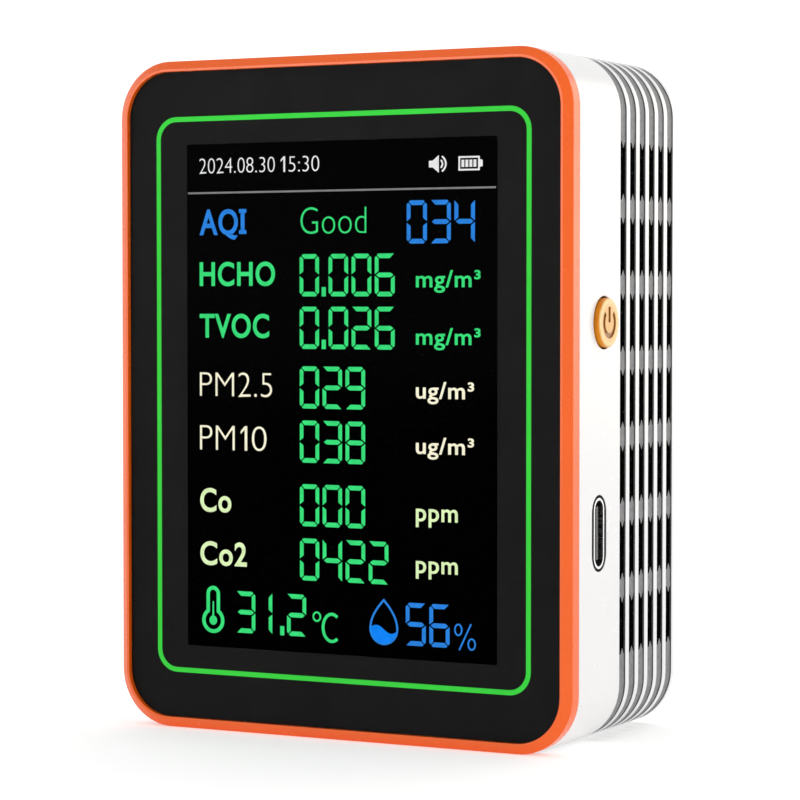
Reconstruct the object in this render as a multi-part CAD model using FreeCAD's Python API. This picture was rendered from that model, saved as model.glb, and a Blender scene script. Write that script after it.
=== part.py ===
"""Desktop air quality monitor: a bright front frame round a dark lens and display, on a white slotted case.

Frame: millimetres, +Z up. The front looks along -Y, and the side with the button and the charging
socket is +X. The origin is the middle of the flat underside. Depths, called t, count from the
foremost point of the front frame towards the back, so y = t - DEPTH / 2.
"""

import FreeCAD, Part
import math
import os

from FreeCAD import Vector

# Whole object
WIDTH = 65.9
HEIGHT = 88.0
DEPTH = 34.5
CORNER = 7.5                     # outer corner radius, seen from the front
MIDDLE = HEIGHT / 2
AXIS_X, AXIS_Y, AXIS_Z = Vector(1, 0, 0), Vector(0, 1, 0), Vector(0, 0, 1)
OVER, ROOT = 1.0, 0.3            # how far a cutter passes a face, and how far a joined part reaches in

# Front frame
LIP_INSET = 1.4                  # from the outer edge to the lens pocket
BEVEL_INSET, BEVEL_DEPTH = 1.07, 0.8
EDGE_ROUND, CREST_ROUND = 0.15, 0.05
LEDGE_FRONT, SEAM = 0.95, 2.8    # depths of the ledge behind the lens and of the joint with the case
LEDGE_OPENING, LEDGE_CORNER = (51.0, 72.8), 1.5
TONGUE_END, TONGUE_WALL = 4.6, 1.0
NOTCH_HALF_WIDTH, NOTCH_BOTTOM, NOTCH_TOP = 12.0, 5.0, 9.0    # the ledge's notch for the display ribbon

# Lens, mask and display
LENS_GAP = 0.05
LENS_FRONT, LENS_THICK = 0.1, 0.5
LINE_THICK, MASK_THICK, TAPE_THICK = 0.05, 0.1, 0.2
TAPE_MARGIN, GASKET_MARGIN = 0.4, 0.5
LINE_SIZE, LINE_WIDTH, LINE_CORNER = (54.7, 73.3), 0.65, 3.0
WINDOW, WINDOW_CORNER = (45.4, 66.0), 0.3    # the display's active area
DISPLAY, GLASS_CORNER, TRAY_CORNER = (49.6, 71.4), 0.3, 0.8
BEAD_SIZE, BEAD_CORNER, BEAD_DEPTH, BEAD_PLACE = (36.0, 3.0), 1.4, 0.3, 15.0
GLASS_FRONT, GLASS_THICK, BACKLIGHT_THICK = 1.0, 1.1, 1.9

# Rear case
WALL, BACK_WALL = 2.2, 1.8
INSIDE_X, INSIDE_BACK = WIDTH / 2 - WALL, DEPTH - BACK_WALL
BACK_ROUND, SEAM_ROUND, MOUTH_ROUND = 1.3, 0.1, 0.12
TONGUE_GAP = 0.1
GROOVES, GROOVE_START, GROOVE_PITCH, GROOVE_WIDTH = 6, 15.3, 3.08, 2.0
GROOVE_DEPTH, GROOVE_DRAFT, RIB_CHAMFER = 0.2, 0.02, 0.05
SLOTS, SLOT_PITCH, SLOT_LENGTH, SLOT_WIDTH = 7, 9.69, 7.4, 1.92
NOTCH_DEPTH, NOTCH_WIDTH, NOTCH_SHIFT = 0.78, 1.0, 0.33    # the bridges' points, set towards the back
BACK_VENTS, BACK_VENT_PITCH, BACK_VENT_LENGTH, BACK_VENT_WIDTH = 6, 3.6, 24.0, 1.6
BACK_VENT_CORNER = BACK_VENT_WIDTH / 2 - 0.01
BACK_VENT_MIDDLE = 27.5          # height of the back vents' middle
FOAM_THICK, FOAM_GAP, FOAM_SINK = 0.5, 0.03, 0.1
FOAM_START, FOAM_END, FOAM_MARGIN = GROOVE_START - 0.6, INSIDE_BACK - 0.05, 10.0
FENCE_THICK, FENCE_TALL, FENCE_HALF_LENGTH, FENCE_GAP = 1.2, 4.0, 14.0, 0.3

# Circuit board
BOARD_FRONT, BOARD_THICK = 5.7, 1.2
BOARD_BACK = BOARD_FRONT + BOARD_THICK
BOARD_SIZE, BOARD_CORNER = (60.4, 82.0), 4.0
BOARD_POSTS = [(side * 28.0, z) for side in (-1, 1) for z in (16.5, 71.5)]
BOARD_SCREW_RADIUS, BOARD_SCREW_HOLE, BOARD_SCREW_TIP, POST_RADIUS = 0.8, 0.95, 1.95, 2.0
BOARD_HEAD_RADIUS, BOARD_HEAD_THICK, BOARD_HEAD_ROUND = 1.5, 0.9, 0.3
BOSS_ROOM = 0.6                  # between the case screws' bosses and the board's cut corners
FLANGE_NOTCH_X, FLANGE_NOTCH_HALF = 28.8, 4.8    # the board's notch for the button's flange
CHIPS = [(7.0, 7.0, 0.9, -0.5, 35.5), (5.0, 6.0, 1.3, 10.5, 33.0), (4.0, 4.0, 0.9, 17.0, 26.0),
         (3.0, 3.0, 1.0, 20.0, 20.0), (5.0, 4.0, 1.2, -10.0, 27.0),
         (3.0, 1.6, 1.1, 17.0, 62.0)]    # width, height, thickness, x and z of each
BATTERY_PLUG, SENSOR_PLUG = (6.0, 5.0, 4.1, -24.0, 56.0), (7.0, 5.0, 3.5, 12.0, 45.0)
RIBBON_CLAMP_HALF, RIBBON_CLAMP_FRONT, RIBBON_CLAMP_Z = 11.0, 4.85, (12.0, 15.4)
BUZZER_RADIUS, BUZZER_TALL, BUZZER_HOLE, BUZZER_X, BUZZER_Z = 4.5, 4.2, 0.9, 10.0, 68.0

# Gas sensors on the board: width, height, thickness, x and z, or radius, thickness, x and z
GAS_CELL, GAS_CELL_CORNER, GAS_WINDOW = (19.0, 16.0, 6.0, -12.5, 68.0), 1.2, (12.0, 5.0, 0.8, -12.5, 71.0)
ROUND_CELL, ROUND_CELL_INLET = (6.0, 5.0, -18.0, 44.0), 1.2
GAUZE_BASE, GAUZE_RADIUS, GAUZE_TALL = (12.0, 12.0, 3.0, 0.0, 50.0), 4.6, 5.0
HUMIDITY_CHIP, HUMIDITY_WELL = (3.0, 3.0, 1.0, -28.2, 30.0), 0.8

# Case screws, which run from the back through towers into bosses on the frame
TOWERS = [(side * 27.0, z) for side in (-1, 1) for z in (6.4, HEIGHT - 6.4)]
BOSS_RADIUS, TOWER_RADIUS, BOSS_END = 2.5, 3.6, 8.4
WELL_RADIUS, WELL_FLOOR = 2.4, 10.4
SCREW_RADIUS, SCREW_HOLE, SCREW_TIP, TIP_ROOM = 1.0, 1.2, 3.2, 0.2
SCREW_HEAD_RADIUS, SCREW_HEAD_THICK, SCREW_HEAD_ROUND = 2.1, 1.5, 0.5
RECESS_REACH, RECESS_HALF_WIDTH, RECESS_DEPTH = 1.2, 0.25, 0.8

# Power button and its switch
BUTTON_T, BUTTON_Z = 10.3, 53.75
BUTTON_RADIUS, BUTTON_PROUD, BUTTON_GAP, BUTTON_ROUND = 3.13, 0.7, 0.2, 0.3
FLANGE_RADIUS, FLANGE_THICK, FLANGE_OUTER = 4.1, 0.8, INSIDE_X - 0.1
SYMBOL_RADIUS, SYMBOL_WIDTH, SYMBOL_DEPTH, SYMBOL_GAP, SYMBOL_BAR = 1.65, 0.68, 0.15, 44.0, (0.05, 2.0)
STEM_RADIUS, STEM_END = 1.25, 28.7
PLUNGER_RADIUS, PLUNGER_END, PLUNGER_ROOM = 0.9, 26.3, (0.2, 1.2)    # room: at its sides and its end
SWITCH_X, SWITCH_HALF_HEIGHT, SWITCH_DEPTH = (23.9, 27.9), 3.1, 3.0

# Charging socket, USB type C
SOCKET_T, SOCKET_Z = 8.88, 27.3
CUTOUT = (9.66, 4.45)
SHELL_OUT, SHELL_IN = (8.94, 3.16), (8.34, 2.56)
SHELL_MOUTH, SHELL_LENGTH, SHELL_WALL = WIDTH / 2 - 0.05, 7.35, 0.3
LEG_PLACES, LEG_WIDTH, LEG_Z, LEG_HALF_THICK, LEG_TOP = (0.8, 4.2), 1.0, 3.4, 0.25, 1.3
SEAL_SINK, SEAL_THICK = 0.08, 1.2
TONGUE_PLATE, TONGUE_SINK, INSERT_BASE = (6.69, 0.7), 0.3, 1.6

# Dust sensor, with its fan, at the bottom of the case behind the back vents
SENSOR_SIZE, SENSOR_X, SENSOR_Z = (38.0, 35.0), 0.0, 27.5
SENSOR_CORNER, SENSOR_BOARD_CORNER, SENSOR_WALL = 1.5, 1.0, 1.2
SENSOR_BOARD_FRONT, SENSOR_BOARD_THICK, SENSOR_TRAY_DEPTH, SENSOR_LID_THICK = 20.7, 1.0, 10.5, 0.5
SENSOR_TRAY_FRONT = SENSOR_BOARD_FRONT + SENSOR_BOARD_THICK
SENSOR_TRAY_BACK = SENSOR_TRAY_FRONT + SENSOR_TRAY_DEPTH
SENSOR_FLOOR = SENSOR_TRAY_FRONT + SENSOR_WALL
DUCT_X, DUCT_Z = (6.0, 17.8), (18.5, 43.0)
PASSAGE_X, PASSAGE_HALF, PASSAGE_STEP = (0.0, 7.0), 5.0, 3.0    # the opening from the fan to the duct
LASER_X, LASER_Z, LASER_RADIUS, LASER_LENGTH, LASER_LIFT = 10.0, 34.0, 1.65, 5.0, 3.5
HOLDER_HALF, HOLDER_DEPTH, HOLDER_Z = 2.4, 5.5, (38.0, 41.0)
DETECTOR_HALF, DETECTOR_THICK, DETECTOR_Z = 2.0, 1.2, (22.0, 26.0)
LEAD_SOCKET_HALF, LEAD_SOCKET_DEPTH, LEAD_SOCKET_Z = 3.5, 3.5, (35.5, 40.5)
LEAD_WIRES, LEAD_PITCH, LEAD_RADIUS = 4, 1.25, 0.4
FAN_X, FAN_Z, FAN_HOUSING_RADIUS = -7.0, 27.5, 10.5
FAN_RADIUS, FAN_HUB_RADIUS, FAN_HUB_ROUND = 9.6, 4.6, 0.6
FAN_BLADES, FAN_BLADE_THICK, FAN_SWEEP, FAN_MID_SWEEP = 9, 0.6, math.radians(28), 0.35
FAN_FLOOR, FAN_TOP = SENSOR_FLOOR + 0.5, SENSOR_TRAY_BACK - 1.2
BLADE_START, BLADE_END, BLADE_ROOT = FAN_FLOOR + 0.4, FAN_TOP - 0.8, FAN_HUB_RADIUS - 0.4
FAN_PIN_RADIUS, FAN_PIN_END, FAN_BORE_RADIUS, FAN_BORE_END = (
    0.75, SENSOR_TRAY_BACK - 1.4, 0.79, SENSOR_TRAY_BACK - 1.35)
LID_SLOTS, LID_SLOT_WIDTH, SPOKE_LENGTH, SPOKE_HALF = (4.6, 6.4, 8.2), 1.1, 11.0, 0.6

# Battery, behind the upper half of the board
BATTERY_SIZE, BATTERY_CORNER, BATTERY_ROUND = (50.0, 30.0), 1.5, 1.2
BATTERY_Z, BATTERY_THICK, BATTERY_TAPE, BATTERY_TAPE_SIZE = 62.5, 8.0, 1.0, (40.0, 22.0)
BATTERY_BACK = INSIDE_BACK - BATTERY_TAPE
BATTERY_FRONT = BATTERY_BACK - BATTERY_THICK


def y_at(t):
    """The y of a depth t."""
    return t - DEPTH / 2


def outline(width, height, radius, t, x=0.0, z=MIDDLE):
    """A closed rounded rectangle facing the front, at depth t and centred on x, z."""
    y, half_w, half_h = y_at(t), width / 2, height / 2
    bend = radius * (1 - math.sqrt(0.5))
    edges = []
    for sx, sz, turned in ((1, 1, False), (1, -1, True), (-1, -1, False), (-1, 1, True)):
        on_side = Vector(x + sx * half_w, y, z + sz * (half_h - radius))
        on_end = Vector(x + sx * (half_w - radius), y, z + sz * half_h)
        mid = Vector(x + sx * (half_w - bend), y, z + sz * (half_h - bend))
        first, last = (on_side, on_end) if turned else (on_end, on_side)
        edges.append((first, mid, last))
    parts = []
    for i, (first, mid, last) in enumerate(edges):
        parts.append(Part.Arc(first, mid, last).toShape())
        parts.append(Part.LineSegment(last, edges[(i + 1) % 4][0]).toShape())
    return Part.Wire(parts)


def plate(size, radius, t0, t1, x=0.0, z=MIDDLE):
    """A rounded plate between two depths."""
    return Part.Face(outline(*size, radius, t0, x, z)).extrude(Vector(0, t1 - t0, 0))


def block(x0, x1, t0, t1, z0, z1):
    """A square-edged block between two x, two depths and two heights."""
    return Part.makeBox(x1 - x0, t1 - t0, z1 - z0, Vector(x0, y_at(t0), z0))


def rod(radius, t0, t1, x, z):
    """A cylinder along the depth."""
    return Part.makeCylinder(radius, t1 - t0, Vector(x, y_at(t0), z), AXIS_Y)


def side_rod(radius, x0, x1, t, z):
    """A cylinder along x."""
    return Part.makeCylinder(radius, x1 - x0, Vector(x0, y_at(t), z), AXIS_X)


def side_stadium(size, x0, x1, t, z):
    """A prism along x with a slot-shaped section, tall in z, with half-round ends."""
    tall, wide = size
    straight = tall - wide
    body = block(x0, x1, t - wide / 2, t + wide / 2, z - straight / 2, z + straight / 2)
    ends = [side_rod(wide / 2, x0, x1, t, z + sign * straight / 2) for sign in (-1, 1)]
    return body.multiFuse(ends).removeSplitter()


def ring(outer, outer_radius, inner, inner_radius, t0, t1):
    """A rounded plate with a rounded opening."""
    return plate(outer, outer_radius, t0, t1).cut(plate(inner, inner_radius, t0 - OVER, t1 + OVER))


def inset(distance):
    """Size and corner radius of the object's outline, moved in by a distance."""
    return (WIDTH - 2 * distance, HEIGHT - 2 * distance), CORNER - distance


def edges_at(shape, t, least_length=0.0, reach=0.01):
    """The edges that lie flat at a depth t."""
    y = y_at(t)
    flat = [e for e in shape.Edges if abs(e.BoundBox.YMin - y) < reach and abs(e.BoundBox.YMax - y) < reach]
    return [e for e in flat if e.Length > least_length]


def outer_edges_at(shape, t, shrink=0.0):
    """The edges at a depth t that lie on the object's outline, moved in by shrink."""
    size, radius = inset(shrink)
    path = outline(*size, radius, t)
    return [e for e in edges_at(shape, t) if path.distToShape(Part.Vertex(e.valueAt(
        (e.FirstParameter + e.LastParameter) / 2)))[0] < 0.01]


def wire_tube(points, radius):
    """A round wire through points: straight runs joined by arcs as large as the runs allow."""
    places = [Vector(x, y_at(t), z) for x, t, z in points]
    edges, start = [], places[0]
    for before, corner, after in zip(places, places[1:], places[2:]):
        into, out = (corner - before).normalize(), (after - corner).normalize()
        reach = 0.45 * min((corner - before).Length, (after - corner).Length)
        first, last = corner - into * reach, corner + out * reach
        turn = into.getAngle(out)
        bend = reach / math.tan(turn / 2)
        edges.append(Part.LineSegment(start, first).toShape())
        half = bend * (1 / math.cos(turn / 2) - 1)
        mid = corner + (out - into).normalize() * half
        edges.append(Part.Arc(first, mid, last).toShape())
        start = last
    edges.append(Part.LineSegment(start, places[-1]).toShape())
    spine = Part.Wire(edges)
    section = Part.Wire(Part.makeCircle(radius, places[0], places[1] - places[0]))
    return spine.makePipeShell([section], True, False)


# Front frame, lens and display

def front_frame():
    """Bevelled ring with the lens pocket, ledge, snap-in tongue, screw bosses and board posts."""
    size, radius = inset(0)
    crest_size, crest_radius = inset(BEVEL_INSET)
    bevel = Part.makeLoft(
        [outline(*crest_size, crest_radius, 0), outline(*size, radius, BEVEL_DEPTH)], True, True)
    body = bevel.fuse(plate(size, radius, BEVEL_DEPTH, SEAM)).removeSplitter()
    body = body.makeFillet(EDGE_ROUND, outer_edges_at(body, BEVEL_DEPTH) + outer_edges_at(body, SEAM))
    pocket_size, pocket_radius = inset(LIP_INSET)
    body = body.cut(plate(pocket_size, pocket_radius, -OVER, LEDGE_FRONT))
    body = body.makeFillet(CREST_ROUND, edges_at(body, 0))
    body = body.cut(plate(LEDGE_OPENING, LEDGE_CORNER, LEDGE_FRONT - OVER, SEAM + OVER))
    tongue_size, tongue_radius = inset(WALL + TONGUE_GAP)
    inner_size, inner_radius = inset(WALL + TONGUE_GAP + TONGUE_WALL)
    body = body.fuse(ring(tongue_size, tongue_radius, inner_size, inner_radius, SEAM - ROOT, TONGUE_END))
    body = body.cut(block(-NOTCH_HALF_WIDTH, NOTCH_HALF_WIDTH, LEDGE_FRONT, SEAM + 0.1,
                          NOTCH_BOTTOM, NOTCH_TOP))
    for x, z in TOWERS:
        body = body.fuse(rod(BOSS_RADIUS, SEAM - ROOT, BOSS_END, x, z))
    for x, z in BOARD_POSTS:
        body = body.fuse(rod(POST_RADIUS, SEAM - ROOT, BOARD_FRONT, x, z))
    for x, z in TOWERS:
        body = body.cut(rod(SCREW_RADIUS, SCREW_TIP - TIP_ROOM, BOSS_END + OVER, x, z))
    for x, z in BOARD_POSTS:
        body = body.cut(rod(BOARD_SCREW_RADIUS, BOARD_SCREW_TIP - TIP_ROOM, BOARD_FRONT + OVER, x, z))
    return body.removeSplitter()


def front_lens():
    """Clear sheet that fills the frame's pocket."""
    size, radius = inset(LIP_INSET + LENS_GAP)
    return plate(size, radius, LENS_FRONT, LENS_FRONT + LENS_THICK)


def border_line():
    """Thin printed line between the lens and the mask, running round the display."""
    start = LENS_FRONT + LENS_THICK
    inner = tuple(side - 2 * LINE_WIDTH for side in LINE_SIZE)
    return ring(LINE_SIZE, LINE_CORNER, inner, LINE_CORNER - LINE_WIDTH, start, start + LINE_THICK)


def lens_mask():
    """Dark film behind the lens, with the display's window in it."""
    size, radius = inset(LIP_INSET + LENS_GAP)
    start = LENS_FRONT + LENS_THICK + LINE_THICK
    return ring(size, radius, WINDOW, WINDOW_CORNER, start, start + MASK_THICK)


def lens_tape():
    """Adhesive ring that holds the lens and mask on the frame's ledge."""
    size, radius = inset(LIP_INSET + TAPE_MARGIN)
    margin = 0.3
    hole = tuple(side + 2 * margin for side in LEDGE_OPENING)
    return ring(size, radius, hole, LEDGE_CORNER + margin, LEDGE_FRONT - TAPE_THICK, LEDGE_FRONT)


def display_gasket():
    """Foam ring between the mask and the edge of the display's glass."""
    hole = tuple(side + 2 * GASKET_MARGIN for side in WINDOW)
    start = LEDGE_FRONT - TAPE_THICK
    return ring(DISPLAY, GASKET_MARGIN, hole, GASKET_MARGIN, start, GLASS_FRONT)


def display_glass():
    """Display panel behind the mask's window."""
    return plate(DISPLAY, GLASS_CORNER, GLASS_FRONT, GLASS_FRONT + GLASS_THICK)


def display_backlight():
    """Metal tray with rounded corners and two shallow stiffening beads behind the glass."""
    start = GLASS_FRONT + GLASS_THICK
    end = start + BACKLIGHT_THICK
    tray = plate(DISPLAY, TRAY_CORNER, start, end)
    for z in (MIDDLE - BEAD_PLACE, MIDDLE + BEAD_PLACE):
        tray = tray.cut(plate(BEAD_SIZE, BEAD_CORNER, end - BEAD_DEPTH, end + OVER, 0, z))
    return tray


def display_ribbon():
    """Flexible tail that leaves the display's lower edge, turns back and lies along the board."""
    start_t, bend, thick, half_width = GLASS_FRONT + GLASS_THICK + 0.1, 1.27, 0.15, 10.0
    bottom, turn_z, top_z = MIDDLE - DISPLAY[1] / 2, 7.4, 13.0
    centre_t = start_t + bend

    def side_of(radius):
        first = Vector(-half_width, y_at(centre_t - radius), bottom)
        down = Vector(-half_width, y_at(centre_t - radius), turn_z)
        low = Vector(-half_width, y_at(centre_t), turn_z - radius)
        back = Vector(-half_width, y_at(centre_t + radius), turn_z)
        top = Vector(-half_width, y_at(centre_t + radius), top_z)
        return first, down, low, back, top

    outer, inner = side_of(bend + thick / 2), side_of(bend - thick / 2)
    edges = []
    for first, down, low, back, top in (outer, inner):
        edges += [Part.LineSegment(first, down).toShape(), Part.Arc(down, low, back).toShape(),
                  Part.LineSegment(back, top).toShape()]
    for end in (0, -1):
        edges.append(Part.LineSegment(outer[end], inner[end]).toShape())
    section = Part.Wire(Part.sortEdges(edges)[0])
    return Part.Face(section).extrude(Vector(2 * half_width, 0, 0))


# Rear case

def case_stations():
    """Depth and side inset where the case's sides change: the flat front, then each groove and rib."""
    stations = [(SEAM, 0.0)]
    for i in range(GROOVES):
        start = GROOVE_START + i * GROOVE_PITCH
        end = start + GROOVE_WIDTH
        stations += [(start - RIB_CHAMFER, 0.0), (start, RIB_CHAMFER), (start + GROOVE_DRAFT, GROOVE_DEPTH)]
        stations += [(end - GROOVE_DRAFT, GROOVE_DEPTH), (end, RIB_CHAMFER), (end + RIB_CHAMFER, 0.0)]
    return stations + [(DEPTH, 0.0)]


def slot_prism(t, z, side, gap, x_in, x_out):
    """A prism with a vent slot's outline, smaller all round by a gap, between two distances from x = 0.

    The slot is upright, and the bridges above and below it point into it.
    """
    half_w, half_l = SLOT_WIDTH / 2 - gap, SLOT_LENGTH / 2 - gap
    half_n = NOTCH_WIDTH / 2 + gap
    corners = []
    for sign in (-1, 1):
        end = [(-half_w, half_l), (NOTCH_SHIFT - half_n, half_l), (NOTCH_SHIFT, half_l - NOTCH_DEPTH),
               (NOTCH_SHIFT + half_n, half_l), (half_w, half_l)]
        corners += [(dt, sign * dz) for dt, dz in end[::-sign]]
    points = [Vector(side * x_in, y_at(t + dt), z + dz) for dt, dz in corners]
    face = Part.Face(Part.makePolygon(points + points[:1]))
    return face.extrude(Vector(side * (x_out - x_in), 0, 0))


def slot_prisms(side, gap, x_in, x_out):
    """The prisms of all the slots of one side."""
    return [slot_prism(GROOVE_START + i * GROOVE_PITCH + GROOVE_WIDTH / 2,
                       MIDDLE + (k - (SLOTS - 1) / 2) * SLOT_PITCH, side, gap, x_in, x_out)
            for i in range(GROOVES) for k in range(SLOTS)]


def rear_case():
    """White tub: grooved, slotted sides that fade into the top and bottom, back vents, screw towers."""
    sections = [outline(WIDTH - 2 * dip, HEIGHT, CORNER, t) for t, dip in case_stations()]
    body = Part.makeLoft(sections, True, True).removeSplitter()
    body = body.makeFillet(BACK_ROUND, outer_edges_at(body, DEPTH))
    body = body.makeFillet(SEAM_ROUND, outer_edges_at(body, SEAM))
    cavity_size, cavity_radius = inset(WALL)
    body = body.cut(plate(cavity_size, cavity_radius, SEAM - OVER, INSIDE_BACK))
    for x, z in TOWERS:
        body = body.fuse(rod(TOWER_RADIUS, BOSS_END, INSIDE_BACK + ROOT, x, z))
    body = body.fuse([sensor_fence(side) for side in (-1, 1)])
    through = (INSIDE_X - OVER, WIDTH / 2 + OVER)
    cutters = slot_prisms(-1, 0.0, *through) + slot_prisms(1, 0.0, *through)
    for x, z in TOWERS:
        cutters.append(rod(WELL_RADIUS, WELL_FLOOR, DEPTH + OVER, x, z))
        cutters.append(rod(SCREW_HOLE, BOSS_END - OVER, WELL_FLOOR + OVER, x, z))
    for k in range(BACK_VENTS):
        z = BACK_VENT_MIDDLE + (k - (BACK_VENTS - 1) / 2) * BACK_VENT_PITCH
        vent = (BACK_VENT_LENGTH, BACK_VENT_WIDTH)
        cutters.append(plate(vent, BACK_VENT_CORNER, INSIDE_BACK - OVER, DEPTH + OVER, 0, z))
    cutters.append(side_stadium(CUTOUT, *through, SOCKET_T, SOCKET_Z))
    cutters.append(side_rod(BUTTON_RADIUS + BUTTON_GAP, *through, BUTTON_T, BUTTON_Z))
    body = body.cut(cutters)
    return body.makeFillet(MOUTH_ROUND, mouth_edges(body))


def mouth_edges(body):
    """The outer edges of the holes for the button and the charging socket."""
    plain = [e for e in body.Edges if abs(e.BoundBox.XMin - WIDTH / 2) < 0.01
             and y_at(SEAM + OVER) < e.CenterOfMass.y < y_at(GROOVE_START - OVER)]
    return [e for e in plain if e.BoundBox.ZLength < HEIGHT / 2]


def sensor_fence(side):
    """Rib on the back wall that locates one side of the dust sensor."""
    inner = SENSOR_SIZE[0] / 2 + FENCE_GAP
    x0, x1 = sorted((side * inner, side * (inner + FENCE_THICK)))
    return block(x0, x1, INSIDE_BACK - FENCE_TALL, INSIDE_BACK + ROOT,
                 SENSOR_Z - FENCE_HALF_LENGTH, SENSOR_Z + FENCE_HALF_LENGTH)


def vent_foam(side):
    """Filter foam fixed inside a side wall, with pads that fill the slots almost to the grooves' floor."""
    x0, x1 = sorted((side * (INSIDE_X - FOAM_THICK), side * INSIDE_X))
    sheet = block(x0, x1, FOAM_START, FOAM_END, FOAM_MARGIN, HEIGHT - FOAM_MARGIN)
    return sheet.fuse(slot_prisms(side, FOAM_GAP, INSIDE_X - ROOT, WIDTH / 2 - GROOVE_DEPTH - FOAM_SINK))


def case_screws():
    """Four self-tapping screws at the bottoms of the wells, with cross recesses in their heads."""
    screws = []
    top = WELL_FLOOR + SCREW_HEAD_THICK
    for x, z in TOWERS:
        head = rod(SCREW_HEAD_RADIUS, WELL_FLOOR, top, x, z)
        head = head.makeFillet(SCREW_HEAD_ROUND, edges_at(head, top))
        screw = head.fuse(rod(SCREW_RADIUS, SCREW_TIP, WELL_FLOOR + ROOT, x, z))
        for dx, dz in ((RECESS_REACH, RECESS_HALF_WIDTH), (RECESS_HALF_WIDTH, RECESS_REACH)):
            screw = screw.cut(block(x - dx, x + dx, top - RECESS_DEPTH, top + OVER, z - dz, z + dz))
        screws.append(screw)
    return Part.makeCompound(screws)


# Circuit board and what is on it

def main_board():
    """Circuit board, cut round the screw bosses and the button's flange."""
    board = plate(BOARD_SIZE, BOARD_CORNER, BOARD_FRONT, BOARD_BACK)
    t0, t1 = BOARD_FRONT - OVER, BOARD_BACK + OVER
    cutters = [rod(BOARD_SCREW_HOLE, t0, t1, x, z) for x, z in BOARD_POSTS]
    for x, z in TOWERS:
        x0, x1 = sorted((x, math.copysign(WIDTH / 2, x)))
        z0, z1 = sorted((z, 0.0 if z < MIDDLE else HEIGHT))
        cutters += [rod(BOSS_RADIUS + BOSS_ROOM, t0, t1, x, z), block(x0, x1, t0, t1, z0, z1)]
    cutters.append(block(FLANGE_NOTCH_X, WIDTH / 2, t0, t1,
                         BUTTON_Z - FLANGE_NOTCH_HALF, BUTTON_Z + FLANGE_NOTCH_HALF))
    return board.cut(cutters)


def board_screws():
    """Four screws that hold the board on the frame's posts."""
    screws = []
    top = BOARD_BACK + BOARD_HEAD_THICK
    for x, z in BOARD_POSTS:
        head = rod(BOARD_HEAD_RADIUS, BOARD_BACK, top, x, z)
        head = head.makeFillet(BOARD_HEAD_ROUND, edges_at(head, top))
        screws.append(head.fuse(rod(BOARD_SCREW_RADIUS, BOARD_SCREW_TIP, BOARD_BACK + ROOT, x, z)))
    return Part.makeCompound(screws)


def power_button():
    """Round cap with an engraved power symbol, a flange behind the wall and a stem."""
    outer = WIDTH / 2 + BUTTON_PROUD
    cap = side_rod(BUTTON_RADIUS, FLANGE_OUTER - ROOT, outer, BUTTON_T, BUTTON_Z)
    rim = [e for e in cap.Edges if abs(e.BoundBox.XMin - outer) < 0.01]
    cap = cap.makeFillet(BUTTON_ROUND, rim)
    cap = cap.fuse(side_rod(FLANGE_RADIUS, FLANGE_OUTER - FLANGE_THICK, FLANGE_OUTER, BUTTON_T, BUTTON_Z))
    cap = cap.fuse(side_rod(STEM_RADIUS, STEM_END, FLANGE_OUTER - ROOT, BUTTON_T, BUTTON_Z))
    return cap.cut(power_symbol(outer - SYMBOL_DEPTH, outer + OVER))


def power_symbol(floor, top):
    """Cutters for a broken ring and a bar, between two distances from x = 0."""
    half = SYMBOL_WIDTH / 2
    broken = side_rod(SYMBOL_RADIUS + half, floor, top, BUTTON_T, BUTTON_Z)
    broken = broken.cut(side_rod(SYMBOL_RADIUS - half, floor, top, BUTTON_T, BUTTON_Z))
    reach = BUTTON_RADIUS
    spread = math.tan(math.radians(SYMBOL_GAP)) * reach
    points = [Vector(floor, y_at(BUTTON_T) + dy, BUTTON_Z + dz)
              for dy, dz in ((0, 0), (spread, reach), (-spread, reach), (0, 0))]
    broken = broken.cut(Part.Face(Part.makePolygon(points)).extrude(AXIS_X * (top - floor)))
    low, high = SYMBOL_BAR
    bar = block(floor, top, BUTTON_T - half, BUTTON_T + half, BUTTON_Z + low, BUTTON_Z + high)
    return [broken, bar]


def power_switch():
    """Side-push switch soldered to the board, with a bore for its plunger."""
    body = block(*SWITCH_X, BOARD_BACK, BUTTON_T + SWITCH_DEPTH,
                 BUTTON_Z - SWITCH_HALF_HEIGHT, BUTTON_Z + SWITCH_HALF_HEIGHT)
    beside, behind = PLUNGER_ROOM
    return body.cut(side_rod(PLUNGER_RADIUS + beside, PLUNGER_END - behind, SWITCH_X[1] + OVER,
                             BUTTON_T, BUTTON_Z))


def switch_plunger():
    """Pin that the button's stem pushes into the switch."""
    return side_rod(PLUNGER_RADIUS, PLUNGER_END, STEM_END, BUTTON_T, BUTTON_Z)


def socket_shell():
    """Metal shell of the charging socket, closed at the rear, with four solder legs."""
    back = SHELL_MOUTH - SHELL_LENGTH
    shell = side_stadium(SHELL_OUT, back, SHELL_MOUTH, SOCKET_T, SOCKET_Z)
    shell = shell.cut(side_stadium(SHELL_IN, back + SHELL_WALL, SHELL_MOUTH + OVER, SOCKET_T, SOCKET_Z))
    for place in LEG_PLACES:
        for z in (SOCKET_Z - LEG_Z, SOCKET_Z + LEG_Z):
            shell = shell.fuse(block(back + place, back + place + LEG_WIDTH, BOARD_BACK, SOCKET_T - LEG_TOP,
                                     z - LEG_HALF_THICK, z + LEG_HALF_THICK))
    return shell


def socket_seal():
    """Black dust seal that fills the gap between the shell and the case's wall."""
    outer = WIDTH / 2 - SEAL_SINK
    inner = outer - SEAL_THICK
    seal = side_stadium(CUTOUT, inner, outer, SOCKET_T, SOCKET_Z)
    return seal.cut(side_stadium(SHELL_OUT, inner - OVER, outer + OVER, SOCKET_T, SOCKET_Z))


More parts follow.
